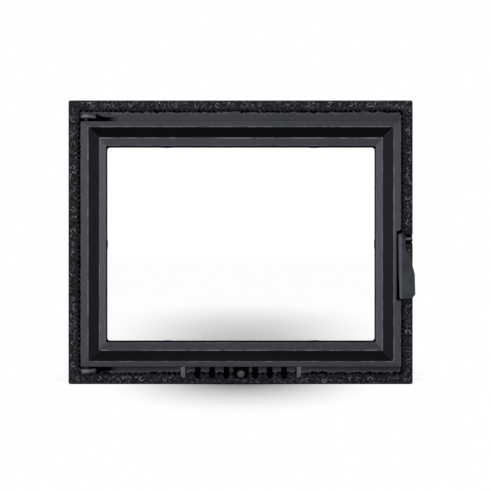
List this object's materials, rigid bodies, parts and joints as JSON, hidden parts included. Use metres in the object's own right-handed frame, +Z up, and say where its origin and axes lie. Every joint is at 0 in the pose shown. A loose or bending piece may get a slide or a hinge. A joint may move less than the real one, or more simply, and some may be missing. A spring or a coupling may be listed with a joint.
{
  "type": "fireplace door",
  "caption": "Black cast-iron fireplace door: carved outer frame with air slots, glazed bevelled leaf on side hinges, lifting paddle handle and a sliding air control.",
  "frame": {"origin": "middle of the frame's bottom edge, in the plane of the wall that the frame is set against", "axes": "+X along the width to the handle side, +Z up, +Y into the wall, so the door faces -Y"},
  "size_m": [0.4911, 0.0695, 0.404],
  "materials": {
    "cast_black": "matt black stove paint on carved cast iron",
    "leaf_black": "satin black stove paint on smooth cast iron",
    "handle_black": "satin black stove paint on cast iron",
    "glass": "clear heat-proof glass",
    "tape": "woven heat-proof tape",
    "rope": "knitted heat-proof rope",
    "steel": "bare sheet steel",
    "screws": "zinc-plated steel",
    "pins": "dark steel rod",
    "slide": "black painted sheet steel",
    "knob": "black turned steel"
  },
  "bodies": {
    "frame": {"outer_frame": "cast_black", "hinge_pin_top": "pins", "hinge_pin_bottom": "pins", "latch_keeper": "steel", "keeper_rivets": "screws", "slide_guide_left": "steel", "slide_guide_right": "steel", "guide_screws": "screws"},
    "leaf": {"door_leaf": "leaf_black", "glass_pane": "glass", "glass_gasket": "tape", "door_gasket": "rope", "glass_clip_top_left": "steel", "glass_clip_top_right": "steel", "glass_clip_bottom_left": "steel", "glass_clip_bottom_right": "steel", "glass_clip_left": "steel", "glass_clip_right": "steel", "glass_clip_screws": "screws", "handle_pin": "pins", "pin_clip": "steel"},
    "lever": {"handle": "handle_black"},
    "slide": {"air_slide": "slide", "air_knob": "knob", "knob_nut": "screws"}
  },
  "joints": [
    {"name": "leaf_hinge", "type": "hinge", "parent": "frame", "child": "leaf", "pos_m": [-0.2192, -0.0165, 0.1994], "axis": [0, 0, -1], "range_deg": [0, 110]},
    {"name": "handle_lift", "type": "hinge", "parent": "leaf", "child": "lever", "pos_m": [0.228, -0.017, 0.2064], "axis": [-1, 0, 0], "range_deg": [0, 65]},
    {"name": "air_slide_travel", "type": "slide", "parent": "frame", "child": "slide", "axis": [1, 0, 0], "range_m": [-0.008, 0.008]}
  ]
}
